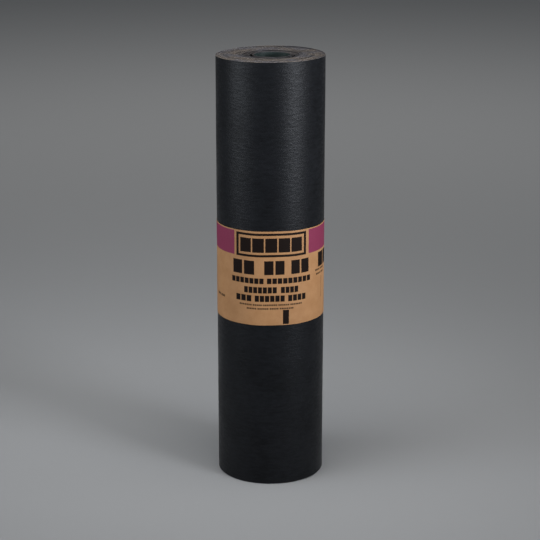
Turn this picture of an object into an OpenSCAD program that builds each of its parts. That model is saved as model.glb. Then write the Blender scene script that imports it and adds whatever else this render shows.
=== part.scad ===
// Roll of asphalt-saturated roofing felt, standing on one end, with its paper label band.
// All sizes are in millimetres. The origin is the centre of the bottom end, and +Z is the
// roll's axis. The felt is one long sheet wound on itself, with no core: it is drawn as one
// turned solid whose ends show every turn.

/* [Felt] */
// Width of the felt, which is the height of the standing roll (36 in)
felt_w = 914.4; // [700:0.1:1100]
// Length of felt on the roll (72 ft, enough for two roofing squares)
felt_l = 21946; // [15000:1:26000]
// Thickness of the felt
felt_t = 1.4; // [1.2:0.05:1.5]

/* [Winding] */
// Outside diameter of the wound roll (9 in)
roll_d = 228.6; // [215:0.1:250]
// Clear bore through the loosest inner turns
bore_d = 50; // [40:1:60]
// Depth to which the gap between two turns shows at an end
gap_h = 1.5; // [0.5:0.1:3]

/* [Label band] */
// Width of the paper band (8 in)
band_w = 203.2; // [100:0.1:300]
// Height of the band's lower edge above the bottom end
band_z = 360; // [50:1:400]
// Thickness of the paper
band_t = 0.3; // [0.2:0.05:0.5]
// Length of the glued lap where the band's two ends meet
lap_l = 32; // [15:1:60]
// Direction of the middle of the lap, anticlockwise from +X
lap_azimuth = 90; // [0:5:355]

/* [Hidden] */
$fn = 180;

felt_colour = "#232427";
paper_colour = "#b08557";

roll_r = roll_d / 2;
bore_r = bore_d / 2;

// The felt's length divided by the middle turn's length gives the number of turns.
turns = round(felt_l / (PI * (roll_r + bore_r)));
pitch = (roll_r - bore_r - felt_t) / (turns - 1);

// A gap never closes fully, so that every turn stays visible.
gap_min = 0.2;
gap_w = max(pitch - felt_t, gap_min);

// The lap covers this angle of the band.
lap_angle = lap_l / (roll_r + band_t) * 180 / PI;

// Outer radius of one turn, counted from 0 at the bore.
function turn_outer_r(turn) = roll_r - (turns - 1 - turn) * pitch;

// One gap at an end, from its inner to its outer corner, with the end at height z
// and the bottom of the gap at height z_deep.
function gap_points(turn, z, z_deep) = let (r = turn_outer_r(turn)) [
    [r, z],
    [r, z_deep],
    [r + gap_w, z_deep],
    [r + gap_w, z]
];

// Half section of the roll: bottom end outwards, outer face up, top end inwards.
function roll_section() = concat(
    [[bore_r, 0]],
    [for (turn = [0 : turns - 2]) each gap_points(turn, 0, gap_h)],
    [[roll_r, 0], [roll_r, felt_w]],
    [for (turn = [turns - 2 : -1 : 0], i = [3 : -1 : 0])
        gap_points(turn, felt_w, felt_w - gap_h)[i]],
    [[bore_r, felt_w]]
);

// The wound felt, with a gap between each two turns on both ends.
module felt_roll() {
    color(felt_colour)
        rotate_extrude()
            polygon(roll_section());
}

// Part of a turned strip of paper, as wide as the band.
module paper_arc(inner_r, outer_r, angle) {
    rotate_extrude(angle = angle)
        translate([inner_r, 0])
            square([outer_r - inner_r, band_w]);
}

// The paper band: one layer all round, and a second layer along the glued lap.
module label_band() {
    color(paper_colour)
        translate([0, 0, band_z]) {
            paper_arc(roll_r, roll_r + band_t, 360);
            rotate([0, 0, lap_azimuth - lap_angle / 2])
                paper_arc(roll_r + band_t / 2, roll_r + 2 * band_t, lap_angle);
        }
}

felt_roll();
label_band();
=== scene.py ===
"""Looks of a roll of asphalt-saturated roofing felt that stands on its end.

The felt is one long sheet, wound on itself with no core, and a printed kraft paper band goes
round its middle. The frame gives the roll's height, diameter and bore, and the band's place.
Lengths are millimetres unless a name ends in _m. Azimuths are radians anticlockwise from +X,
seen from above, unless a name ends in _deg. The printed front of the band faces -Y.
"""

import logging
import math
from dataclasses import dataclass, field
from enum import Enum

import bpy
import numpy as np
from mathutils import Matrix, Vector


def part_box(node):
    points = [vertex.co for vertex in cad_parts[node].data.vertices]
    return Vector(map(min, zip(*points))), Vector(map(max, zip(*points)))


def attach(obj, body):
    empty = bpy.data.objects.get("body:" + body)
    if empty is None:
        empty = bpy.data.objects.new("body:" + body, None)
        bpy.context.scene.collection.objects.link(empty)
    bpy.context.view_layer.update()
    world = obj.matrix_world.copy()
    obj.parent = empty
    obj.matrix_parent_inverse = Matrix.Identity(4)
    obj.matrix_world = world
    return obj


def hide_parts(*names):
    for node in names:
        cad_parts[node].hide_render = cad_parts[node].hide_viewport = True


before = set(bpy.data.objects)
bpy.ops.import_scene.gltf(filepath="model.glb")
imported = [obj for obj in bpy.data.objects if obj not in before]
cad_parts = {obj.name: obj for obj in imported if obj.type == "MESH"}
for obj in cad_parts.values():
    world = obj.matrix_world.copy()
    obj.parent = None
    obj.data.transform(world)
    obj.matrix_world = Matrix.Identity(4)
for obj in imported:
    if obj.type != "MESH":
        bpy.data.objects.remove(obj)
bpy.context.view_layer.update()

LOG = logging.getLogger("roofing_felt_roll")
MM = 0.001
FULL_TURN = 2 * math.pi
FRONT = -math.pi / 2
BAKE_MAP = "OFBake"

# Nearly all of a noise lies in this range.
NOISE_RANGE = (0.3, 0.7)
# Turns and angles that differ by less than this count as equal.
ROUNDING = 1e-9
# An angle too small to see, for places just before and just past the felt's end.
HAIR = 1e-6
# Width of an end's area on the unwrapped map, compared with the roll's diameter.
MAP_MARGIN = 1.02

Range = tuple[float, float]
Triple = tuple[float, float, float]
Colour = Triple
Shares = np.ndarray | float
Socket = bpy.types.NodeSocket


# --------------------------------------------------------------------------------------------
# Helpers
# --------------------------------------------------------------------------------------------


@dataclass(frozen=True)
class Ripple:
    """A smooth, seeded, random unevenness, made of sine waves in many directions.

    Attributes:
        seed: Seed of its random directions and phases.
        longest: Length of its longest wave.
        shortest: Length of its shortest wave.
        waves: Number of waves.
    """

    seed: int
    longest: float
    shortest: float
    waves: int = 14

    def at(self, along: np.ndarray, across: np.ndarray | float = 0.0) -> np.ndarray:
        """Value of the ripple, with a mean of 0 and a standard deviation of 1.

        Args:
            along: Places along the first direction.
            across: Places along the second direction, in the same unit.

        Returns:
            One value for each place.
        """
        draw = np.random.default_rng(self.seed)
        total = np.zeros(np.broadcast(along, across).shape)
        power = 0.0
        for share in np.linspace(0, 1, self.waves):
            length = self.longest * (self.shortest / self.longest) ** share
            heading, phase = draw.uniform(0, FULL_TURN, 2)
            if np.isscalar(across):
                heading = 0.0
            height = math.sqrt(length)
            travel = along * math.cos(heading) + across * math.sin(heading)
            total = total + height * np.sin(FULL_TURN * travel / length + phase)
            power += height**2 / 2
        return total / math.sqrt(power)


@dataclass(frozen=True)
class MapArea:
    """A rectangle on a piece's unwrapped map, in shares of the map's sides.

    Attributes:
        left: Place of its left side.
        bottom: Place of its lower side.
        width: Its width.
        height: Its height.
    """

    left: float
    bottom: float
    width: float
    height: float

    def spot(self, right: Shares, up: Shares) -> tuple[Shares, Shares]:
        """Place on the map of a point at these shares of the rectangle's width and height."""
        return self.left + self.width * right, self.bottom + self.height * up


def smooth_step(value: np.ndarray, low: float, high: float) -> np.ndarray:
    """Rises smoothly from 0 at low to 1 at high.

    Args:
        value: The places to evaluate.
        low: Where the rise starts.
        high: Where the rise ends, which may lie below low for a fall.

    Returns:
        One share from 0 to 1 for each place.
    """
    share = np.clip((value - low) / (high - low), 0, 1)
    return share * share * (3 - 2 * share)


def add_piece(
    name: str,
    corners: np.ndarray,
    faces: list[list[int]],
    finish_of_face: list[int],
    places_on_map: np.ndarray,
    crease_deg: float,
) -> bpy.types.Object:
    """Makes one closed piece from its corners and faces.

    Args:
        name: Name of the piece.
        corners: Corner places in millimetres, one row each.
        faces: Corner numbers of each face, anticlockwise seen from outside.
        finish_of_face: Material slot of each face.
        places_on_map: Place on the unwrapped map of each corner of each face, in face order.
        crease_deg: Angle between faces above which an edge stays sharp.

    Returns:
        The new object, linked to the scene.
    """
    mesh = bpy.data.meshes.new(name)
    mesh.from_pydata((corners * MM).tolist(), [], faces)
    mesh.polygons.foreach_set("material_index", finish_of_face)
    layer = mesh.uv_layers.new(name=BAKE_MAP)
    layer.uv.foreach_set("vector", places_on_map.astype(np.float32).ravel())
    mesh.polygons.foreach_set("use_smooth", [True] * len(faces))
    mesh.set_sharp_from_angle(angle=math.radians(crease_deg))
    mesh.validate()
    piece = bpy.data.objects.new(name, mesh)
    bpy.context.scene.collection.objects.link(piece)
    return piece


class NodeBoard:
    """One procedural material under construction, with short calls for the nodes it needs."""

    def __init__(self, name: str) -> None:
        """Starts a material that holds only a shader and its output.

        Args:
            name: Name of the material.
        """
        self.material = bpy.data.materials.new(name)
        self.material.use_nodes = True
        self.nodes = self.material.node_tree.nodes
        self.nodes.clear()
        self.shader = self.nodes.new("ShaderNodeBsdfPrincipled")
        output = self.nodes.new("ShaderNodeOutputMaterial")
        self.link(self.shader.outputs["BSDF"], output.inputs["Surface"])

    def link(self, source: Socket, target: Socket) -> None:
        """Joins an output to an input."""
        self.material.node_tree.links.new(source, target)

    def place(self) -> Socket:
        """Place on the object, in metres, as a vector."""
        return self.nodes.new("ShaderNodeTexCoord").outputs["Object"]

    def vector_math(self, operation: str, *terms: Socket | Triple) -> bpy.types.Node:
        """Adds a node that works on vectors.

        Args:
            operation: Name of the operation, such as MULTIPLY.
            *terms: The vectors it works on, each a socket or plain numbers.

        Returns:
            The node, which has its result on its Vector or its Value output.
        """
        node = self.nodes.new("ShaderNodeVectorMath")
        node.operation = operation
        for term, target in zip(terms, node.inputs):
            if isinstance(term, tuple):
                target.default_value = term
            else:
                self.link(term, target)
        return node

    def stretched(self, vector: Socket, scale: Triple) -> Socket:
        """A vector scaled along each axis."""
        return self.vector_math("MULTIPLY", vector, scale).outputs["Vector"]

    def noise(self, vector: Socket, size_mm: float, detail: float, rough: float) -> Socket:
        """Cloudy noise.

        Args:
            vector: Where to sample it, in metres.
            size_mm: Size of its largest features.
            detail: How many finer layers it has.
            rough: How strong the finer layers are.

        Returns:
            A value of about 0.2 to 0.8.
        """
        node = self.nodes.new("ShaderNodeTexNoise")
        self.link(vector, node.inputs["Vector"])
        node.inputs["Scale"].default_value = 1 / (size_mm * MM)
        node.inputs["Detail"].default_value = detail
        node.inputs["Roughness"].default_value = rough
        return node.outputs["Fac"]

    def remap(self, value: Socket, source: Range, target: Range) -> Socket:
        """Maps one range of values to another, smoothly and with its ends held.

        Args:
            value: The value to map.
            source: Its low and high end.
            target: What the low and the high end become.

        Returns:
            The mapped value.
        """
        node = self.nodes.new("ShaderNodeMapRange")
        node.interpolation_type = "SMOOTHSTEP"
        self.link(value, node.inputs["Value"])
        node.inputs["From Min"].default_value, node.inputs["From Max"].default_value = source
        node.inputs["To Min"].default_value, node.inputs["To Max"].default_value = target
        return node.outputs["Result"]

    def combine(self, operation: str, first: Socket, second: Socket | float) -> Socket:
        """Joins two values with a math operation.

        Args:
            operation: Name of the operation, such as ADD.
            first: The first value.
            second: The second value, or a plain number.

        Returns:
            The result.
        """
        node = self.nodes.new("ShaderNodeMath")
        node.operation = operation
        self.link(first, node.inputs[0])
        if isinstance(second, float):
            node.inputs[1].default_value = second
        else:
            self.link(second, node.inputs[1])
        return node.outputs[0]

    def blend(self, share: Socket, first: Socket | Colour, second: Socket | Colour) -> Socket:
        """Mixes two colours.

        Args:
            share: 0 for the first colour, 1 for the second.
            first: A colour, or a socket that gives one.
            second: A colour, or a socket that gives one.

        Returns:
            The mixed colour.
        """
        node = self.nodes.new("ShaderNodeMix")
        node.data_type = "RGBA"
        self.link(share, node.inputs["Factor"])
        sides = [s for s in node.inputs if s.name in ("A", "B") and s.type == "RGBA"]
        for side, colour in zip(sides, (first, second), strict=True):
            if isinstance(colour, tuple):
                side.default_value = (*colour, 1.0)
            else:
                self.link(colour, side)
        return next(s for s in node.outputs if s.type == "RGBA")

    def bump(self, height: Socket, depth_mm: float) -> None:
        """Gives the shader a relief.

        Args:
            height: Height of the relief, from 0 to 1.
            depth_mm: How deep the relief is where the height goes from 0 to 1.
        """
        node = self.nodes.new("ShaderNodeBump")
        node.inputs["Strength"].default_value = 1.0
        node.inputs["Distance"].default_value = depth_mm * MM
        self.link(height, node.inputs["Height"])
        self.link(node.outputs["Normal"], self.shader.inputs["Normal"])


# --------------------------------------------------------------------------------------------
# Finishes
# --------------------------------------------------------------------------------------------


@dataclass(frozen=True)
class FeltFaceFinish:
    """The black face of saturated felt, with the short sideways wrinkles of its fibres.

    Attributes:
        name: Name of the material.
        deep: Colour of the hollows.
        pale: Colour of the raised fibres.
        sheen_range: Roughness of the hollows and of the raised fibres.
        gloss_level: Strength of the shine.
        wrinkle_mm: Size of the wrinkles.
        wrinkle_squeeze: How many times wider than high the wrinkles are.
        grain_mm: Size of the fibre grain.
        grain_share: Depth of the grain compared with the wrinkles.
        cloud_mm: Size of the lighter and darker clouds.
        cloud_share: Share of the clouds in the colour, where the wrinkles have the rest.
        gloss_at: Tones at which the shine starts and ends to change.
        relief_mm: Depth of the relief.
    """

    name: str = "saturated_felt_face"
    deep: Colour = (0.0040, 0.0043, 0.0050)
    pale: Colour = (0.0106, 0.0114, 0.0130)
    sheen_range: Range = (0.43, 0.33)
    gloss_level: float = 0.12
    wrinkle_mm: float = 15.0
    wrinkle_squeeze: float = 3.2
    grain_mm: float = 1.6
    grain_share: float = 0.35
    cloud_mm: float = 90.0
    cloud_share: float = 0.4
    gloss_at: Range = (0.1, 0.5)
    relief_mm: float = 0.55

    def make(self) -> bpy.types.Material:
        """Builds the material.

        Returns:
            The material.
        """
        board = NodeBoard(self.name)
        shader = board.shader.inputs
        place = board.place()
        lying = board.stretched(place, (1, 1, self.wrinkle_squeeze))
        wrinkles = board.noise(lying, self.wrinkle_mm, detail=4, rough=0.6)
        grain = board.noise(lying, self.grain_mm, detail=3, rough=0.6)
        clouds = board.noise(place, self.cloud_mm, detail=3, rough=0.5)
        tone = board.combine(
            "ADD",
            board.remap(wrinkles, NOISE_RANGE, (0, 1 - self.cloud_share)),
            board.remap(clouds, NOISE_RANGE, (0, self.cloud_share)),
        )
        board.link(board.blend(tone, self.deep, self.pale), shader["Base Color"])
        raised = board.combine("MULTIPLY", tone, grain)
        board.link(board.remap(raised, self.gloss_at, self.sheen_range), shader["Roughness"])
        shader["Specular IOR Level"].default_value = self.gloss_level
        fine = board.combine("MULTIPLY", grain, self.grain_share)
        board.bump(board.combine("ADD", wrinkles, fine), self.relief_mm)
        return board.material


@dataclass(frozen=True)
class FeltEdgeFinish:
    """The slit edge of the felt: dry, dusty fibres, greyer on some turns and browner on others.

    Attributes:
        name: Name of the material.
        dark: Colour of the fibres with no dust on them.
        grey: Colour of the grey dust.
        tan: Colour of the brown dust.
        turn_mm: Width of the lighter and darker rings.
        ring_slip: How far the rings run off round the roll, as a share of the way across it.
        ring_at: Values of the noise at the darkest and at the lightest ring.
        ring_tone: Tone of the darkest and of the lightest ring.
        patch_mm: Size of the patches of grey and brown.
        patch_at: Values of the noise where the dust is all grey and where it is all brown.
        speck_mm: Size of the dust's specks.
        speck_at: Values of the noise between the specks and on them.
        speck_tone: Tone between the specks and on them.
        relief_mm: Depth of the relief.
        roughness: Roughness of the surface.
        painted_shade_mm: Radii between which the painted shade of the turns round the hole fades out.
        painted_shade_tone: Tone of the edges at the hole's rim, darkened there as painted shade.
        painted_light_reach_mm: How far to both sides of the axis the painted light changes the tone.
        painted_light_azimuth_deg: Azimuth towards which the end is lighter, as painted light; away from
            it, it is darker.
        painted_light_swing: How strongly the painted light and shade change the tone.
    """

    name: str = "saturated_felt_cut_edge"
    dark: Colour = (0.016, 0.014, 0.016)
    grey: Colour = (0.096, 0.090, 0.098)
    tan: Colour = (0.128, 0.104, 0.085)
    turn_mm: float = 3.2
    ring_slip: float = 0.035
    ring_at: Range = (0.34, 0.58)
    ring_tone: Range = (0.25, 1)
    patch_mm: float = 42.0
    patch_at: Range = (0.44, 0.62)
    speck_mm: float = 0.9
    speck_at: Range = (0.3, 0.6)
    speck_tone: Range = (0.45, 1)
    relief_mm: float = 0.25
    roughness: float = 0.9
    painted_shade_mm: Range = (57.0, 69.0)
    painted_shade_tone: float = 0.30
    painted_light_reach_mm: float = 115.0
    painted_light_azimuth_deg: float = -118.0
    painted_light_swing: float = 0.24

    def make(self) -> bpy.types.Material:
        """Builds the material.

        Returns:
            The material.
        """
        board = NodeBoard(self.name)
        place = board.place()
        flat = board.stretched(place, (1, 1, 0))
        radius = board.vector_math("LENGTH", flat).outputs["Value"]
        rings = self._rings(board, flat, radius)
        patches = board.noise(place, self.patch_mm, detail=3, rough=0.55)
        specks = board.noise(place, self.speck_mm, detail=2, rough=0.6)
        dust = board.blend(board.remap(patches, self.patch_at, (0, 1)), self.grey, self.tan)
        tone = board.combine("MULTIPLY", rings, board.remap(specks, self.speck_at, self.speck_tone))
        # Painted shade: the slit edges darken towards the hole, as if in the shadow of the turns round
        # it.
        painted_shade_span = (self.painted_shade_mm[0] * MM, self.painted_shade_mm[1] * MM)
        tone = board.combine("MULTIPLY", tone, board.remap(radius, painted_shade_span, (self.painted_shade_tone, 1)))
        # Painted light and shade: the end is lighter towards the front-left and darker towards the
        # back-right.
        tone = board.combine("MULTIPLY", tone, self._painted_light(board, flat))
        board.link(board.blend(tone, self.dark, dust), board.shader.inputs["Base Color"])
        board.shader.inputs["Roughness"].default_value = self.roughness
        board.bump(specks, self.relief_mm)
        return board.material

    def _rings(self, board: NodeBoard, flat: Socket, radius: Socket) -> Socket:
        """Tone of the rings that lighter and darker turns make.

        Args:
            board: The material under construction.
            flat: Place across the end, with its height left out.
            radius: Distance from the roll's axis.

        Returns:
            The tone.
        """
        outwards = board.nodes.new("ShaderNodeCombineXYZ")
        board.link(radius, outwards.inputs["X"])
        slip = (self.ring_slip, self.ring_slip, 0)
        where = board.vector_math("MULTIPLY_ADD", flat, slip, outwards.outputs["Vector"])
        rings = board.noise(where.outputs["Vector"], self.turn_mm, detail=2, rough=0.7)
        return board.remap(rings, self.ring_at, self.ring_tone)

    def _painted_light(self, board: NodeBoard, flat: Socket) -> Socket:
        """Painted light and shade: the end's tone changes slowly from one side of the roll to the other.

        Args:
            board: The material under construction.
            flat: Place across the end, with its height left out.

        Returns:
            A factor on the tone.
        """
        turned = math.radians(self.painted_light_azimuth_deg)
        heading = (math.cos(turned), math.sin(turned), 0)
        along = board.vector_math("DOT_PRODUCT", flat, heading).outputs["Value"]
        reach = self.painted_light_reach_mm * MM
        return board.remap(along, (-reach, reach), (1 - self.painted_light_swing, 1 + self.painted_light_swing / 2))


class Ink(Enum):
    """What lies on a patch of the band's paper."""

    BARE = 0
    MAGENTA = 1
    BLACK = 2


@dataclass(frozen=True)
class PaperFinish:
    """Unbleached kraft paper, bare or under one flat ink that the paper shows through a little.

    Attributes:
        name: Name of the material.
        ink: Colour of the ink, if there is one.
        cover: How far the ink hides the paper.
        wear: How much less it hides the paper where it is thinnest.
        paper: Lighter colour of the paper.
        shade: Darker colour of the paper.
        fleck: Colour of its dark fibres.
        fleck_at: Values of the noise where the dark fibres start to show and where they do fully.
        fleck_share: How strongly the dark fibres show.
        gap_at: Values of the noise where the ink starts to wear thin and where it is thinnest.
        roughness: Roughness of the surface.
        gloss_level: Strength of the shine.
        mottle_mm: Size of the lighter and darker patches.
        fibre_mm: Length of the fibres.
        fibre_squeeze: How many times wider than high the fibres are.
        relief_mm: Depth of the relief.
    """

    name: str
    ink: Colour | None = None
    cover: float = 1.0
    wear: float = 0.16
    paper: Colour = (0.391, 0.205, 0.090)
    shade: Colour = (0.347, 0.175, 0.073)
    fleck: Colour = (0.198, 0.095, 0.038)
    fleck_at: Range = (0.56, 0.74)
    fleck_share: float = 0.7
    gap_at: Range = (0.64, 0.80)
    roughness: float = 0.66
    gloss_level: float = 0.2
    mottle_mm: float = 24.0
    fibre_mm: float = 2.6
    fibre_squeeze: float = 3.0
    relief_mm: float = 0.05

    def make(self) -> bpy.types.Material:
        """Builds the material.

        Returns:
            The material.
        """
        board = NodeBoard(self.name)
        place = board.place()
        lying = board.stretched(place, (1, 1, self.fibre_squeeze))
        mottle = board.noise(place, self.mottle_mm, detail=4, rough=0.6)
        fibres = board.noise(lying, self.fibre_mm, detail=4, rough=0.65)
        body = board.blend(board.remap(mottle, NOISE_RANGE, (0, 1)), self.paper, self.shade)
        flecks = board.remap(fibres, self.fleck_at, (0, self.fleck_share))
        stained = board.blend(flecks, body, self.fleck)
        if self.ink is not None:
            gaps = board.noise(place, self.fibre_mm / 2, detail=3, rough=0.7)
            covered = board.remap(gaps, self.gap_at, (self.cover, self.cover - self.wear))
            stained = board.blend(covered, stained, self.ink)
        board.link(stained, board.shader.inputs["Base Color"])
        board.shader.inputs["Roughness"].default_value = self.roughness
        board.shader.inputs["Specular IOR Level"].default_value = self.gloss_level
        board.bump(fibres, self.relief_mm)
        return board.material


# --------------------------------------------------------------------------------------------
# Felt
# --------------------------------------------------------------------------------------------


@dataclass(frozen=True)
class Slack:
    """A place in the winding where two turns stand apart.

    Attributes:
        turn: Number of the turn that has the gap under it.
        azimuth_deg: Azimuth where the gap is widest.
        spread_deg: How far to both sides the gap reaches.
        opening: Width of the gap, compared with a usual gap of 1.
    """

    turn: int
    azimuth_deg: float
    spread_deg: float
    opening: float


@dataclass
class Winding:
    """The spiral that the felt is wound in, outwards from the hole.

    Attributes:
        radius: Radius of the roll.
        thickness: Thickness of the felt.
        turns: Number of turns.
        steps_per_turn: Number of steps that each turn is worked out in.
        end_azimuth_deg: Azimuth of both ends of the felt.
        hole_radius: Radius of the open hole.
        hole_offset: How far the hole lies off the roll's axis, towards +X and towards +Y.
        gap_ripple: Unevenness of the gaps between turns, along the felt, in turns.
        gap_swing: How strongly the gaps vary.
        gap_fades: Looseness near the hole: how much, and over how many turns it fades.
        lobes: How the outside is out of round: number of lobes, their height and phase.
        slacks: Places where two turns stand apart.
        wound: Turns wound at each step.
        middle: Radius of the sheet's middle at each step.
    """

    radius: float
    thickness: float = 1.4
    turns: int = 44
    steps_per_turn: int = 120
    end_azimuth_deg: float = 128.0
    hole_radius: float = 37.3
    hole_offset: Range = (3.0, 11.6)
    gap_ripple: Ripple = Ripple(seed=3, longest=2.7, shortest=0.11)
    gap_swing: float = 0.45
    gap_fades: tuple[Range, ...] = ((9.0, 3.2), (2.2, 11.0))
    lobes: tuple[tuple[int, float, float], ...] = ((2, 0.14, 0.8), (3, 0.08, 2.1))
    slacks: tuple[Slack, ...] = (
        *(Slack(number, azimuth_deg=-88, spread_deg=60, opening=22) for number in range(1, 9)),
        Slack(turn=2, azimuth_deg=188, spread_deg=30, opening=52),
        Slack(turn=4, azimuth_deg=-28, spread_deg=24, opening=85),
        Slack(turn=36, azimuth_deg=160, spread_deg=15, opening=12),
        Slack(turn=27, azimuth_deg=-60, spread_deg=22, opening=3.5),
        Slack(turn=20, azimuth_deg=20, spread_deg=28, opening=6),
        Slack(turn=15, azimuth_deg=-140, spread_deg=32, opening=5),
        Slack(turn=11, azimuth_deg=-85, spread_deg=30, opening=6),
        Slack(turn=31, azimuth_deg=75, spread_deg=30, opening=5),
    )
    wound: np.ndarray = field(init=False)
    middle: np.ndarray = field(init=False)

    def __post_init__(self) -> None:
        """Winds the felt."""
        self.wound = np.arange(self.turns * self.steps_per_turn + 1) / self.steps_per_turn
        self.middle = self._radii()

    def azimuth(self, wound: np.ndarray) -> np.ndarray:
        """Azimuth at which the given number of turns has been wound."""
        return math.radians(self.end_azimuth_deg) + FULL_TURN * wound

    def share_of_turn(self, azimuth_deg: float) -> float:
        """Share of a turn that lies between the start of each turn and an azimuth."""
        return (azimuth_deg - self.end_azimuth_deg) % 360 / 360

    def length(self) -> float:
        """Length of the wound felt, along its middle.

        Returns:
            The length.
        """
        azimuth = self.azimuth(self.wound)
        path = np.stack([self.middle * np.cos(azimuth), self.middle * np.sin(azimuth)])
        return float(np.linalg.norm(np.diff(path, axis=1), axis=0).sum())

    def outside(self, azimuth: np.ndarray) -> np.ndarray:
        """Radius of the roll's outer face.

        Args:
            azimuth: The azimuths to give it at.

        Returns:
            One radius for each azimuth.
        """
        back = (self.azimuth(self.turns) - azimuth) % FULL_TURN
        wound = self.turns - back / FULL_TURN
        return np.interp(wound, self.wound, self.middle) + self.thickness / 2

    def _hole(self, azimuth: np.ndarray) -> np.ndarray:
        """Radius of the open hole, a circle that lies off the roll's axis.

        Args:
            azimuth: The azimuths to give it at.

        Returns:
            One radius for each azimuth.
        """
        right, back = self.hole_offset
        along = right * np.cos(azimuth) + back * np.sin(azimuth)
        aside = back * np.cos(azimuth) - right * np.sin(azimuth)
        return along + np.sqrt(self.hole_radius**2 - aside**2)

    def _looseness(self) -> np.ndarray:
        """How wide the gap under each step is, compared with a usual gap of 1.

        Returns:
            One value above 0 for each step.
        """
        loose = np.exp(self.gap_swing * self.gap_ripple.at(self.wound))
        for much, fade in self.gap_fades:
            loose += much * np.exp(-self.wound / fade)
        for slack in self.slacks:
            off_turns = self.wound - slack.turn - self.share_of_turn(slack.azimuth_deg)
            loose += slack.opening * np.exp(-((off_turns * 360 / slack.spread_deg) ** 2))
        return loose

    def _radii(self) -> np.ndarray:
        """Winds the sheet outwards from the hole until it fills the roll's radius.

        Returns:
            Radius of the sheet's middle at each step. Turns never touch, because each lies
            outside the one under it by the sheet's thickness and a gap above 0.
        """
        felt, loose = self.thickness, self._looseness()
        grid = loose[:-1].reshape(self.turns, self.steps_per_turn)
        total = grid[1:].sum(0)
        rise = self.wound[: self.steps_per_turn]
        azimuth = self.azimuth(rise)
        hole = self._hole(azimuth) + felt / 2
        start = self.radius - felt
        for number, height, phase in self.lobes:
            start = start + height * np.sin(number * azimuth + phase)
        stack = (self.turns - 1) * felt
        unit = (start[0] - hole[0] - stack) / total[0]
        first = hole + rise * (felt + unit * grid[1, 0])
        last = start + rise * (felt + unit * loose[-1])
        gaps = (last - first - stack) / total * grid
        LOG.info("gaps between turns: %.3f to %.2f mm", gaps[1:].min(), gaps[1:].max())
        gaps[0] = 0
        layers = first + np.cumsum(gaps, 0) + felt * np.arange(self.turns)[:, None]
        return np.append(layers.ravel(), layers[-1, 0] + felt + unit * loose[-1])


class Side(Enum):
    """Which part of the felt a face belongs to."""

    OUTSIDE = 0
    BORE = 1
    TOP = 2
    BOTTOM = 3
    BETWEEN = 4
    END = 5


# Where each side of the felt lies on its unwrapped map: the sides that are seen have most room,
# and the faces between two turns lie on each other in two narrow columns.
FELT_MAP = {
    Side.OUTSIDE: MapArea(0.005, 0.005, 0.585, 0.99),
    Side.BORE: MapArea(0.645, 0.005, 0.35, 0.25),
    Side.TOP: MapArea(0.65, 0.65, 0.34, 0.34),
    Side.BOTTOM: MapArea(0.65, 0.29, 0.34, 0.34),
    Side.BETWEEN: MapArea(0.602, 0.005, 0.02, 0.99),
    Side.END: MapArea(0.628, 0.005, 0.01, 0.99),
}


@dataclass(frozen=True)
class SheetSection:
    """Numbers of the corners round the sheet's section at one column.

    They run up the outer face, over the top edge, down the inner face and under the bottom edge.
    Each face has one corner in each row, and each edge has two corners between the faces.

    Attributes:
        first: Number of the section's first corner.
        rows: Number of rows.
    """

    first: int
    rows: int

    def numbers(self) -> list[int]:
        """Every corner, in order round the section."""
        return list(range(self.first, self.first + 2 * self.rows + 4))

    def runs(self) -> tuple[list[int], list[int], list[int], list[int]]:
        """The corners of the outer face, the top edge, the inner face and the bottom edge."""
        numbers, over, down = self.numbers(), self.rows, self.rows + 2
        return numbers[:over], numbers[over:down], numbers[down:-2], numbers[-2:]

    def on_inside(self) -> list[int]:
        """1 for each corner on the inner half of the sheet's thickness, else 0."""
        return [0] * (self.rows + 1) + [1] * (self.rows + 2) + [0]


@dataclass(frozen=True)
class SheetCorners:
    """The corners of the wound sheet, and where each one lies on the sheet.

    Attributes:
        places: Corner places.
        wound: Turns wound at each corner.
        odd: 1 for the corners of every other column, else 0.
        inside: 1 for the corners on the sheet's inner face, else 0.
    """

    places: np.ndarray
    wound: np.ndarray
    odd: np.ndarray
    inside: np.ndarray


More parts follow.
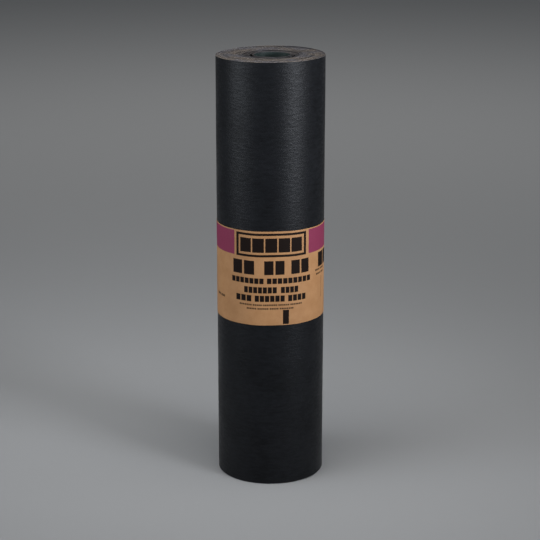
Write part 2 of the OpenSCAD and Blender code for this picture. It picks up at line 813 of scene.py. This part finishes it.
@dataclass
class FeltRoll:
    """The felt, as one closed sheet wound from its inner end to its outer end.

    Attributes:
        winding: The spiral that it is wound in.
        width: Width of the felt, which is the height of the roll.
        band_span: Heights of the band's lower and upper edge.
        fine_turns: How much of the outside has closer columns and many rows.
        fine_steps: Number of its columns in each step of the winding.
        rows: Number of its rows.
        corner: Height of the worn corners of the slit edges.
        worn_corner: The same on the outermost turn.
        corner_lean: Depth of a worn corner, as a share of its height.
        fray: How unevenly the slit edges are worn.
        fray_seed: Seed of this unevenness.
        edge_dip: How far the middle of a slit edge lies below its highest fibres.
        slow_slide: How turns slid along each other, along the felt, in turns.
        fast_slide: The same for their quick unevenness.
        slow_height: How far they slid.
        fast_height: How far for the quick unevenness.
        mean_slide: Mean distance of the slit edge from the floor.
        free_slide: Share of this sliding near the hole, held at 1.
        lost_slide: How much of the share is lost towards the outside.
        trim: How much narrower the felt is than the roll is high.
        proud: How far each of the outermost turns stands proud of the top end at its highest.
        proud_azimuth_deg: Azimuth where they are highest.
        proud_spread_deg: How far to both sides they stand proud.
        rim_lift: How far the outermost turn is up all round.
        rim_ramp: Turns before the outer end between which the outermost turn comes up.
        bent_down: How much lower the upper edge of the loose inner turns is.
        bent_tilt: How much more so at the back than at the front.
        bent_turns: Number of these turns.
        bent_ramp: Turns over which the bend fades.
        wave: Waves in the outermost turn.
        wave_height: Height of the waves.
        wave_lean: Share at which height counts, so that the waves are longer up the roll.
        wave_ramp: Turns over which the waves begin.
        end_wave: Unevenness of the curl at the outer end.
        end_lift: How far the outer end curls off the roll.
        end_swing: How strongly the curl varies.
        end_turns: Turns over which the end curls.
        hold: How far above and below the band it holds the felt down.
        face_finish: Finish of the felt's faces.
        edge_finish: Finish of its slit edges and its two ends.
        bore_finish: Finish of its face round the hole.
    """

    winding: Winding
    width: float
    band_span: Range
    fine_turns: float = 1.12
    fine_steps: int = 3
    rows: int = 40
    corner: float = 0.38
    worn_corner: float = 0.8
    corner_lean: float = 0.8
    fray: float = 0.05
    fray_seed: int = 5
    edge_dip: float = 0.1
    slow_slide: Ripple = Ripple(seed=11, longest=9.0, shortest=0.6)
    fast_slide: Ripple = Ripple(seed=12, longest=0.5, shortest=0.05)
    slow_height: float = 0.30
    fast_height: float = 0.10
    mean_slide: float = 0.4
    free_slide: float = 1.15
    lost_slide: float = 0.35
    trim: float = 1.0
    proud: tuple[float, ...] = (0.4, 1.0, 1.7)
    proud_azimuth_deg: float = 58.0
    proud_spread_deg: float = 46.0
    rim_lift: float = 0.8
    rim_ramp: Range = (1.1, 0.9)
    bent_down: float = 1.6
    bent_tilt: float = 0.2
    bent_turns: float = 8.6
    bent_ramp: float = 0.3
    wave: Ripple = Ripple(seed=21, longest=260, shortest=45, waves=18)
    wave_height: float = 0.14
    wave_lean: float = 0.6
    wave_ramp: float = 0.06
    end_wave: Ripple = Ripple(seed=22, longest=500, shortest=120, waves=6)
    end_lift: float = 0.5
    end_swing: float = 0.35
    end_turns: float = 0.045
    hold: float = 45.0
    face_finish: FeltFaceFinish = FeltFaceFinish()
    edge_finish: FeltEdgeFinish = FeltEdgeFinish()
    bore_finish: FeltFaceFinish = FeltFaceFinish(
        name="saturated_felt_bore", deep=(0.019, 0.028, 0.027), pale=(0.038, 0.052, 0.049)
    )

    def build(self) -> bpy.types.Object:
        """Makes the felt as one closed mesh, and dresses it.

        Returns:
            The felt.
        """
        columns = self._columns()
        corners, sections = self._corners(columns)
        faces, sides = self._faces(sections, columns)
        finishes = {Side.TOP: 1, Side.BOTTOM: 1, Side.END: 1, Side.BORE: 2}
        piece = add_piece(
            "felt_roll_wound",
            corners.places,
            faces,
            [finishes.get(side, 0) for side in sides],
            self._unwrap(corners, faces, sides),
            crease_deg=28,
        )
        for finish in (self.face_finish, self.edge_finish, self.bore_finish):
            piece.data.materials.append(finish.make())
        LOG.info("felt: %.2f m long, %d turns", self.winding.length() * MM, self.winding.turns)
        return piece

    def _columns(self) -> np.ndarray:
        """Places the columns of corners, which stand closer on the outermost turn.

        Returns:
            Turns wound at each column.
        """
        winding = self.winding
        first_fine = round((winding.turns - self.fine_turns) * winding.steps_per_turn)
        coarse = winding.wound[:first_fine]
        count = (len(winding.wound) - 1 - first_fine) * self.fine_steps + 1
        return np.append(coarse, np.linspace(winding.wound[first_fine], winding.turns, count))

    def _lift(self, wound: np.ndarray) -> np.ndarray:
        """How far the lower edge is off the floor, as turns slide along each other.

        Args:
            wound: Turns wound at each column.

        Returns:
            One height for each column.
        """
        turns = self.winding.turns
        slide = self.slow_height * self.slow_slide.at(wound)
        slide = slide + self.fast_height * self.fast_slide.at(wound) + self.mean_slide
        share = np.clip(self.free_slide - self.lost_slide * wound / turns, 0, 1)
        lift = np.maximum(slide, 0) * share
        highest = self.winding.share_of_turn(self.proud_azimuth_deg)
        for turn, height in enumerate(self.proud, turns - len(self.proud)):
            off = (wound - turn - highest) * 360 / self.proud_spread_deg
            lift = lift + height * np.exp(-(off**2))
        start, end = self.rim_ramp
        return lift + self.rim_lift * smooth_step(wound, turns - start, turns - end)

    def _tall(self, wound: np.ndarray) -> np.ndarray:
        """Height of the upper edge over the lower edge, less where loose turns are bent down.

        Args:
            wound: Turns wound at each column.

        Returns:
            One height for each column.
        """
        tilt = 1 + self.bent_tilt * np.sin(self.winding.azimuth(wound))
        loose = smooth_step(wound, self.bent_turns + self.bent_ramp, self.bent_turns)
        return self.width - self.trim - self.bent_down * tilt * loose

    def _bulge(self, wound: float, height: np.ndarray) -> np.ndarray:
        """How far the outermost turn stands off the roll at one column.

        Args:
            wound: Turns wound at the column.
            height: Heights of its rows.

        Returns:
            One distance for each row, all 0 or more, and 0 where the band holds the felt.
        """
        turns = self.winding.turns
        start = turns - self.fine_turns
        around = np.full(height.shape, wound * FULL_TURN * self.winding.radius)
        wave = 1 + np.tanh(self.wave.at(around, height * self.wave_lean))
        wave = wave * self.wave_height * smooth_step(wound, start, start + self.wave_ramp)
        curl = self.end_lift * (1 + self.end_swing * self.end_wave.at(height))
        wave = wave + curl * smooth_step(wound, turns - self.end_turns, turns)
        low, high = self.band_span
        held = smooth_step(height, low - self.hold, low) * smooth_step(height, high + self.hold, high)
        return wave * (1 - held)

    def _corners(self, columns: np.ndarray) -> tuple[SheetCorners, list[SheetSection]]:
        """Places the sheet's corners, column by column.

        Args:
            columns: Turns wound at each column.

        Returns:
            The corners, and the section of the sheet at each column.
        """
        middles = np.interp(columns, self.winding.wound, self.winding.middle)
        azimuths, lows, talls = self.winding.azimuth(columns), self._lift(columns), self._tall(columns)
        frays = np.random.default_rng(self.fray_seed).normal(0, self.fray, (len(columns), 4))
        fine = columns >= self.winding.turns - self.fine_turns - ROUNDING
        fine_rise = (1 - np.cos(np.linspace(0, math.pi, self.rows))) / 2
        places, sections, inside, first = [], [], [], 0
        for number, wound in enumerate(columns):
            rise = fine_rise if fine[number] else np.array([0.0, 1.0])
            corner = self.worn_corner if fine[number] else self.corner
            low, tall = lows[number], talls[number]
            height = low + corner + rise * (tall - 2 * corner)
            bulge = self._bulge(wound, height) if fine[number] else np.zeros(2)
            out, up = self._section(low, tall, corner, height, bulge, frays[number])
            out = out + middles[number]
            turned = azimuths[number]
            places.append(np.stack([out * math.cos(turned), out * math.sin(turned), up], 1))
            sections.append(SheetSection(first, len(rise)))
            inside.extend(sections[-1].on_inside())
            first += len(out)
        counts = [len(column) for column in places]
        odd = np.arange(len(columns)) % 2
        corners = SheetCorners(
            np.concatenate(places), np.repeat(columns, counts), np.repeat(odd, counts), np.array(inside)
        )
        return corners, sections

    def _section(
        self,
        low: float,
        tall: float,
        corner: float,
        height: np.ndarray,
        bulge: np.ndarray,
        fray: np.ndarray,
    ) -> tuple[np.ndarray, np.ndarray]:
        """Draws the sheet's section at one column, in the order of SheetSection.

        Args:
            low: Height of its lower edge.
            tall: Height of its upper edge over that.
            corner: Height of its worn corners.
            height: Heights of its rows.
            bulge: How far each row stands off the roll.
            fray: Wear of its four edge corners.

        Returns:
            Distance outwards from the middle of the sheet, and height, of each corner.
        """
        half = self.winding.thickness / 2
        edge = half - corner * self.corner_lean
        out = np.concatenate([
            bulge + half,
            (bulge[-1] + edge, bulge[-1] - edge),
            (bulge - half)[::-1],
            (bulge[0] - edge, bulge[0] + edge),
        ])
        top, bottom = low + tall - self.edge_dip + fray[:2], low + np.abs(fray[2:])
        return out, np.concatenate([height, top, height[::-1], bottom])

    def _faces(
        self, sections: list[SheetSection], columns: np.ndarray
    ) -> tuple[list[list[int]], list[Side]]:
        """Joins the sheet's corners into faces.

        Args:
            sections: Section of the sheet at each column.
            columns: Turns wound at each column.

        Returns:
            The faces, and the side of the felt that each belongs to.
        """
        faces, sides = [], []

        def add(face: list[int], side: Side) -> None:
            """Adds one face."""
            faces.append(face)
            sides.append(side)

        outermost = columns >= self.winding.turns - self.fine_turns
        for number in range(len(columns) - 1):
            outer_side = Side.OUTSIDE if outermost[number] else Side.BETWEEN
            inner_side = Side.BORE if columns[number + 1] <= 1 else Side.BETWEEN
            strips = []
            for section in sections[number : number + 2]:
                outer, top, inner, bottom = section.runs()
                strips.append((outer, [outer[-1], *top, inner[0]], inner, [inner[-1], *bottom, outer[0]]))
            for side, here, there in zip((outer_side, Side.TOP, inner_side, Side.BOTTOM), *strips):
                if len(here) != len(there):
                    add([here[0], *there, here[-1]], side)
                    continue
                for low in range(len(here) - 1):
                    add([here[low], there[low], there[low + 1], here[low + 1]], side)

        add(sections[0].numbers(), Side.END)
        outer, top, inner, bottom = sections[-1].runs()
        facing = inner[::-1]
        for low in range(len(outer) - 1):
            add([outer[low], facing[low], facing[low + 1], outer[low + 1]], Side.END)
        add([outer[-1], inner[0], top[1], top[0]], Side.END)
        add([outer[0], bottom[1], bottom[0], inner[-1]], Side.END)
        return faces, sides

    def _unwrap(
        self, corners: SheetCorners, faces: list[list[int]], sides: list[Side]
    ) -> np.ndarray:
        """Lays every face on the unwrapped map.

        Args:
            corners: The sheet's corners.
            faces: Corner numbers of each face.
            sides: Side of the felt that each face belongs to.

        Returns:
            One place on the map for each corner of each face.
        """
        at = np.concatenate(faces)
        side = np.repeat([s.value for s in sides], [len(f) for f in faces])
        x, y, z = corners.places[at].T
        wound, inside = corners.wound[at], corners.inside[at]
        tall = z / corners.places[:, 2].max()
        across = 2 * MAP_MARGIN * self.winding.radius
        over = (0.5 + x / across, 0.5 + y / across)
        shares = {
            Side.OUTSIDE: (1 + (wound - self.winding.turns) / self.fine_turns, tall),
            Side.BORE: (wound, tall),
            Side.TOP: over,
            Side.BOTTOM: over,
            Side.BETWEEN: (np.abs(corners.odd[at] - inside), tall),
            Side.END: (inside, tall),
        }
        placed = np.zeros((len(at), 2))
        for which, share in shares.items():
            chosen = side == which.value
            placed[chosen] = np.stack(FELT_MAP[which].spot(*share), 1)[chosen]
        return placed


# --------------------------------------------------------------------------------------------
# Label band
# --------------------------------------------------------------------------------------------


@dataclass(frozen=True)
class Patch:
    """A rectangle of ink on the band.

    Attributes:
        left: Distance of its left side round the band, rightwards from the middle of the front.
        right: The same for its right side.
        bottom: Height of its lower side above the band's lower edge.
        top: The same for its upper side.
        ink: The ink.
    """

    left: float
    right: float
    bottom: float
    top: float
    ink: Ink = Ink.BLACK

    def covers(self, across: float, level: float) -> bool:
        """Whether a place on the band lies inside the patch."""
        return self.left < across < self.right and self.bottom < level < self.top


@dataclass(frozen=True)
class BlockRow:
    """A row of plain blocks that stands where a line of print would be.

    Attributes:
        bottom: Height of the blocks' lower edges.
        top: Height of their upper edges.
        runs: Left end, right end and number of blocks of each run.
        gap_share: Share of the way from one block to the next that is bare.
    """

    bottom: float
    top: float
    runs: tuple[tuple[float, float, int], ...]
    gap_share: float = 0.16

    def patches(self) -> list[Patch]:
        """Divides each run into its blocks.

        Returns:
            One patch for each block.
        """
        found = []
        for left, right, count in self.runs:
            pitch = (right - left) / (count - self.gap_share)
            for number in range(count):
                start = left + number * pitch
                end = start + pitch * (1 - self.gap_share)
                found.append(Patch(start, end, self.bottom, self.top))
        return found


class BandMap(Enum):
    """Where each part of the band lies on its unwrapped map, with most room for its front."""

    FRONT = MapArea(0.02, 0.53, 0.96, 0.45)
    RIGHT = MapArea(0.02, 0.05, 0.46, 0.45)
    LEFT = MapArea(0.52, 0.05, 0.46, 0.45)
    INSIDE = MapArea(0.02, 0.0, 0.96, 0.035)
    LOWER_EDGE = MapArea(0.02, 0.036, 0.96, 0.004)
    UPPER_EDGE = MapArea(0.02, 0.986, 0.96, 0.004)
    ENDS = MapArea(0.985, 0.53, 0.005, 0.45)


@dataclass
class LabelBand:
    """The kraft paper band: one strip round the felt, whose ends meet in a glued lap.

    Attributes:
        winding: The spiral of the felt that it goes round.
        bottom: Height of its lower edge.
        width: Width of the paper.
        thickness: Thickness of the paper.
        lap: Length of the lap.
        lap_gap: Gap between the lap's two layers.
        lap_ramp: Length over which the upper layer climbs onto the lower one.
        clearance: Gap between the felt and the paper.
        widest_column: Widest column of its faces.
        tallest_row: Tallest row of its faces.
        least_step: Least distance of an ink's edge from the paper's edge.
        edge_ripple: Unevenness of its lower and upper edge.
        edge_wave: Height of that.
        puff_ripple: Unevenness of how it lies on the felt.
        puff: Half of how far it stands off the felt.
        puff_ramp: Distances past the lap, from either end, over which this starts.
        free_length: Length of the upper layer's free end that stands up.
        free_lift: How far it stands up.
        frame_box: Left, right, lower and upper side of the printed frame.
        frame_line: Thickness of the frame's upright and of its level sides.
        rows: The rows of blocks.
        fields: The coloured fields, bars and fine lines.
        finishes: The bare paper and the paper under each ink, in the order of Ink.
    """

    winding: Winding
    bottom: float
    width: float
    thickness: float = 0.3
    lap: float = 32.0
    lap_gap: float = 0.05
    lap_ramp: float = 9.0
    clearance: float = 0.08
    widest_column: float = 6.0
    tallest_row: float = 26.0
    least_step: float = 0.2
    edge_ripple: Ripple = Ripple(seed=31, longest=400, shortest=70, waves=8)
    edge_wave: float = 0.35
    puff_ripple: Ripple = Ripple(seed=32, longest=180, shortest=40, waves=12)
    puff: float = 0.16
    puff_ramp: Range = (2.0, 45.0)
    free_length: float = 7.0
    free_lift: float = 0.25
    frame_box: tuple[float, float, float, float] = (-76.0, 81.0, 148.3, 199.0)
    frame_line: Range = (6.0, 5.0)
    rows: tuple[BlockRow, ...] = (
        BlockRow(158, 188.5, ((-66, 70, 5),), 0.1),
        BlockRow(110, 140, ((-84.5, -34, 2), (-12.7, 30, 2), (45, 88.5, 2))),
        BlockRow(90.5, 102.5, ((-88, -14, 7), (-7, 93, 9))),
        BlockRow(70, 83.5, ((-57, 13.6, 7), (22.3, 61, 4))),
        BlockRow(51.5, 65, ((-76.8, -40.5, 3), (-33, 30.5, 6), (38, 80, 4))),
        BlockRow(42.5, 46, ((-68, -40, 7), (-37, -18, 5), (-15, 14, 8), (17, 40, 6), (43, 70, 7)), 0.3),
        BlockRow(34.5, 38, ((-51, -30, 6), (-27, -4, 6), (-1, 17, 5), (20, 50, 8)), 0.3),
        BlockRow(112, 144, ((122, 146, 1), (149, 173, 1))),
        BlockRow(105, 109, ((111, 128, 4), (131, 151, 5)), 0.3),
        BlockRow(96, 100, ((114, 134, 5), (137, 149, 3)), 0.3),
        BlockRow(48, 53, ((-148, -134, 3), (-130, -114, 4)), 0.3),
    )
    fields: tuple[Patch, ...] = (
        Patch(-400, -81.3, 149, 201, Ink.MAGENTA),
        Patch(88.5, 400, 149, 201, Ink.MAGENTA),
        Patch(26.7, 40, 2, 33),
        Patch(137.4, 138.6, 42, 89),
        Patch(-155.6, -154.4, 52, 129),
    )
    finishes: tuple[PaperFinish, ...] = (
        PaperFinish("kraft_paper_bare"),
        PaperFinish("kraft_paper_magenta_ink", ink=(0.184, 0.0205, 0.060), cover=0.97),
        PaperFinish(
            "kraft_paper_black_ink",
            ink=(0.0075, 0.0046, 0.0038),
            cover=0.995,
            wear=0.1,
            gloss_level=0.06,
        ),
    )

    @property
    def girth(self) -> float:
        """Length of one turn of the band."""
        return FULL_TURN * (self.winding.radius + self.clearance)

    @property
    def half(self) -> float:
        """Length of the strip from the middle of its front to either end."""
        return (self.girth + self.lap) / 2

    def build(self) -> bpy.types.Object:
        """Makes the band as one closed mesh, and dresses it.

        Returns:
            The band.
        """
        prints = self._prints()
        sides = [side for patch in prints for side in (patch.left, patch.right)]
        levels = [level for patch in prints for level in (patch.bottom, patch.top)]
        across = self._lines(sides, -self.half, self.half, self.widest_column)
        up = self._lines(levels, 0, self.width, self.tallest_row)
        faces, inks, on_map = self._faces(across, up, prints)
        piece = add_piece(
            "label_band_paper",
            self._corners(across, up),
            faces,
            inks,
            on_map,
            crease_deg=40,
        )
        for finish in self.finishes:
            piece.data.materials.append(finish.make())
        LOG.info("band: %d columns, %d rows, %d printed patches", len(across), len(up), len(prints))
        return piece

    def _prints(self) -> list[Patch]:
        """Gathers what is printed on the band.

        Returns:
            Every patch of ink. Where two meet, the later one lies on top.
        """
        left, right, low, high = self.frame_box
        side, bar = self.frame_line
        border = [
            Patch(left, right, low, low + bar),
            Patch(left, right, high - bar, high),
            Patch(left, left + side, low, high),
            Patch(right - side, right, low, high),
        ]
        blocks = [patch for row in self.rows for patch in row.patches()]
        return [*self.fields, *border, *blocks]

    def _lines(self, edges: list[float], low: float, high: float, widest: float) -> np.ndarray:
        """Lines of a grid that meets every edge and has no step wider than allowed.

        Args:
            edges: Places that must lie on a line.
            low: Where the grid starts.
            high: Where it ends.
            widest: The widest step.

        Returns:
            The lines, in rising order.
        """
        inside = [e for e in edges if low + self.least_step < e < high - self.least_step]
        fixed = sorted({round(e, 2) for e in (low, high, *inside)})
        lines = [fixed[0]]
        for start, end in zip(fixed, fixed[1:]):
            count = max(1, math.ceil((end - start) / widest))
            lines.extend(np.linspace(start, end, count + 1)[1:])
        return np.array(lines)

    def _base_radius(self, azimuth: np.ndarray) -> np.ndarray:
        """Radius of the felt under the band, bridged where the felt's outer end steps down.

        Args:
            azimuth: The azimuths to give it at.

        Returns:
            One radius for each azimuth.
        """
        felt = self.winding.outside(azimuth)
        end = self.winding.azimuth(self.winding.turns)
        peak, foot = self.winding.outside(np.array([end - HAIR, end + HAIR]))
        reach = math.acos(foot / peak)
        past = (azimuth - end) % FULL_TURN
        bridge = foot / np.cos(np.clip(reach - past, 0, reach))
        return np.where(past < reach, np.maximum(felt, bridge), felt)

    def _corners(self, across: np.ndarray, up: np.ndarray) -> np.ndarray:
        """Places the corners of the band's outer face, and then those of its inner face.

        Args:
            across: The grid's columns, as distances round the band.
            up: The grid's rows, as heights above the band's lower edge.

        Returns:
            The corner places, column by column.
        """
        turned = FRONT + across / self.girth * FULL_TURN
        over = smooth_step(across, self.half - self.lap - self.lap_ramp, self.half - self.lap)
        radius = self._base_radius(turned) + self.clearance + over * (self.thickness + self.lap_gap)
        puff = self.puff * (1 + np.tanh(self.puff_ripple.at(across[:, None], up[None, :])))
        near, far = self.puff_ramp
        puff = puff * smooth_step(self.half - np.abs(across), self.lap + near, self.lap + far)[:, None]
        free = self.free_lift * smooth_step(across, self.half - self.free_length, self.half)
        inner = radius[:, None] + puff + free[:, None]
        level = self.bottom + (up[None, :] + self.edge_wave * self.edge_ripple.at(across)[:, None])
        shells = []
        for shell in (inner + self.thickness, inner):
            x, y = shell * np.cos(turned)[:, None], shell * np.sin(turned)[:, None]
            shells.append(np.stack([x, y, level], 2).reshape(-1, 3))
        return np.concatenate(shells)

    def _spot(self, across: float, rise: float, middle: float) -> tuple[float, float]:
        """Place on the map of a corner of a printed face.

        Args:
            across: Distance of the corner round the band.
            rise: Height of the corner as a share of the band's width.
            middle: Distance of the face's middle round the band.

        Returns:
            The place.
        """
        if abs(middle) <= self.half / 2:
            return BandMap.FRONT.value.spot(across / self.half + 0.5, rise)
        if middle > 0:
            return BandMap.RIGHT.value.spot(2 * across / self.half - 1, rise)
        return BandMap.LEFT.value.spot(2 * across / self.half + 2, rise)

    @staticmethod
    def _reversed(ring: list) -> list:
        """The same ring of corners, the other way round from the same first corner."""
        return [ring[0], *ring[:0:-1]]

    def _faces(
        self, across: np.ndarray, up: np.ndarray, prints: list[Patch]
    ) -> tuple[list[list[int]], list[int], np.ndarray]:
        """Joins the band's two grids of corners into a closed strip.

        Args:
            across: The grid's columns, as distances round the band.
            up: The grid's rows, as heights above the band's lower edge.
            prints: The patches of ink.

        Returns:
            The faces, the ink of each, and the place on the unwrapped map of each corner.
        """
        wide, tall = len(across), len(up)
        inside = wide * tall
        run, rise = np.arange(wide) / wide, up / up[-1]
        faces, inks, on_map = [], [], []

        def add(face: list[int], spots: list[tuple[float, float]], ink: Ink = Ink.BARE) -> None:
            """Adds one face."""
            faces.append(face)
            inks.append(ink.value)
            on_map.extend(spots)

        for column in range(wide - 1):
            middle = (across[column] + across[column + 1]) / 2
            left, right = run[column], run[column + 1]
            for row in range(tall - 1):
                level = (up[row] + up[row + 1]) / 2
                found = [patch.ink for patch in prints if patch.covers(middle, level)]
                ring = ((column, row), (column + 1, row), (column + 1, row + 1), (column, row + 1))
                face = [c * tall + r for c, r in ring]
                spots = [self._spot(across[c], rise[r], middle) for c, r in ring]
                add(face, spots, found[-1] if found else Ink.BARE)
                spots = [BandMap.INSIDE.value.spot(run[c], rise[r]) for c, r in ring]
                add(self._reversed([inside + corner for corner in face]), self._reversed(spots))
            low, high = column * tall, (column + 1) * tall
            border = ((left, 0), (right, 0), (right, 1), (left, 1))
            face = [low, high, inside + high, inside + low]
            spots = [BandMap.LOWER_EDGE.value.spot(*at) for at in border]
            add(self._reversed(face), self._reversed(spots))
            spots = [BandMap.UPPER_EDGE.value.spot(*at) for at in border]
            add([corner + tall - 1 for corner in face], spots)
        for column, turn in ((0, 1), (wide - 1, -1)):
            for row in range(tall - 1):
                low = column * tall + row
                face = [low, low + 1, inside + low + 1, inside + low]
                start, end = rise[row], rise[row + 1]
                border = ((0, start), (0, end), (1, end), (1, start))
                spots = [BandMap.ENDS.value.spot(*at) for at in border]
                add(face[::turn], spots[::turn])
        return faces, inks, np.array(on_map)


# --------------------------------------------------------------------------------------------
# Studio
# --------------------------------------------------------------------------------------------


@dataclass(frozen=True)
class SoftLight:
    """A large soft lamp that stands round the roll.

    Attributes:
        name: Name of the lamp.
        azimuth_deg: Azimuth of the lamp.
        distance_m: Its distance from the roll's axis.
        height_m: Its height.
        aim_m: The place it points at.
        size_m: Its width and height.
        watts: Its power.
        spread_deg: Width of its beam.
        tint: Colour of its light.
    """

    name: str
    azimuth_deg: float
    distance_m: float
    height_m: float
    aim_m: Triple
    size_m: Range
    watts: float
    spread_deg: float = 180
    tint: Colour = (1.0, 1.0, 1.0)

    def build(self) -> None:
        """Hangs the lamp."""
        data = bpy.data.lights.new(self.name, "AREA")
        data.shape = "RECTANGLE"
        data.size, data.size_y = self.size_m
        data.energy = self.watts
        data.spread = math.radians(self.spread_deg)
        data.color = self.tint
        lamp = bpy.data.objects.new(self.name, data)
        turned = math.radians(self.azimuth_deg)
        lamp.location = (
            self.distance_m * math.cos(turned),
            self.distance_m * math.sin(turned),
            self.height_m,
        )
        away = lamp.location - Vector(self.aim_m)
        lamp.rotation_euler = away.to_track_quat("Z", "Y").to_euler()
        bpy.context.scene.collection.objects.link(lamp)


@dataclass
class Studio:
    """A plain pale floor, soft light from both sides and above, and the camera.

    Attributes:
        floor_half_m: Half of the floor's width.
        floor_colour: Colour of the floor.
        floor_roughness: Roughness of the floor.
        surround: Colour of the even light from all round.
        surround_strength: Strength of that light.
        camera_place_m: Place of the camera.
        camera_pitch_deg: How far the camera looks up, which is below 0 where it looks down.
        lens_mm: Focal length of its lens.
        sight_m: How far the camera sees.
        lights: The lamps.
    """

    floor_half_m: float = 30.0
    floor_colour: Colour = (0.37, 0.37, 0.37)
    floor_roughness: float = 0.9
    surround: Colour = (0.86, 0.93, 1.0)
    surround_strength: float = 0.11
    camera_place_m: Triple = (-0.0006, -3.351, 1.410)
    camera_pitch_deg: float = -16.004
    lens_mm: float = 108.0
    sight_m: float = 100.0
    lights: tuple[SoftLight, ...] = (
        SoftLight("key_light", -39, 2.6, 1.05, (0, 0, 0.85), (0.95, 0.9), 8.1, 52, (0.95, 0.99, 1.07)),
        SoftLight("fill_light", -156, 2.6, 1.05, (0, 0, 0.85), (2.2, 1.2), 10.4, 75, (0.91, 0.97, 1.05)),
        SoftLight("top_light", -90, 0.32, 2.2, (0, 0, 0.7), (1.1, 0.8), 23),
        SoftLight("floor_light", 90, 3.0, 4.5, (0, 9, 0), (4.0, 2.0), 118),
    )

    def build(self) -> None:
        """Sets up the floor, the surround, the lights and the camera."""
        self._floor()
        self._surround()
        for light in self.lights:
            light.build()
        self._camera()
        bpy.context.scene.view_settings.view_transform = "Standard"

    def _floor(self) -> None:
        """Lays the floor."""
        reach = self.floor_half_m
        corners = [(-reach, -reach, 0), (reach, -reach, 0), (reach, reach, 0), (-reach, reach, 0)]
        mesh = bpy.data.meshes.new("floor")
        mesh.from_pydata(corners, [], [(0, 1, 2, 3)])
        floor = bpy.data.objects.new("floor", mesh)
        bpy.context.scene.collection.objects.link(floor)
        board = NodeBoard("floor_paint")
        board.shader.inputs["Base Color"].default_value = (*self.floor_colour, 1.0)
        board.shader.inputs["Roughness"].default_value = self.floor_roughness
        mesh.materials.append(board.material)

    def _surround(self) -> None:
        """Fills the room with even light."""
        world = bpy.data.worlds.new("surround")
        world.use_nodes = True
        shade = world.node_tree.nodes["Background"]
        shade.inputs["Color"].default_value = (*self.surround, 1.0)
        shade.inputs["Strength"].default_value = self.surround_strength
        bpy.context.scene.world = world

    def _camera(self) -> None:
        """Sets up the camera, which looks along +Y and down at the roll."""
        data = bpy.data.cameras.new("camera")
        data.lens = self.lens_mm
        data.clip_end = self.sight_m
        camera = bpy.data.objects.new("camera", data)
        camera.location = self.camera_place_m
        camera.rotation_euler = (math.radians(90 + self.camera_pitch_deg), 0, 0)
        bpy.context.scene.collection.objects.link(camera)
        bpy.context.scene.camera = camera


def main() -> None:
    """Builds the roll, its band and the studio, and reports each piece."""
    logging.basicConfig(level=logging.INFO, format="%(name)s: %(message)s")
    Studio().build()
    felt_low, felt_high = (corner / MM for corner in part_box("felt_roll"))
    band_low, band_high = (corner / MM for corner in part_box("label_band"))
    winding = Winding(radius=(felt_high.x - felt_low.x) / 2)
    roll = FeltRoll(
        winding=winding,
        width=felt_high.z - felt_low.z,
        band_span=(band_low.z, band_high.z),
    )
    band = LabelBand(winding=winding, bottom=band_low.z, width=band_high.z - band_low.z)
    for part, node, slot in (
        (roll, "felt_roll", "saturated_felt"),
        (band, "label_band", "kraft_paper"),
    ):
        piece = part.build()
        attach(piece, "root")
        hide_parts(node)
        piece.data.calc_loop_triangles()
        LOG.info("%s: %d triangles", piece.name, len(piece.data.loop_triangles))


if __name__ == "__main__":
    main()
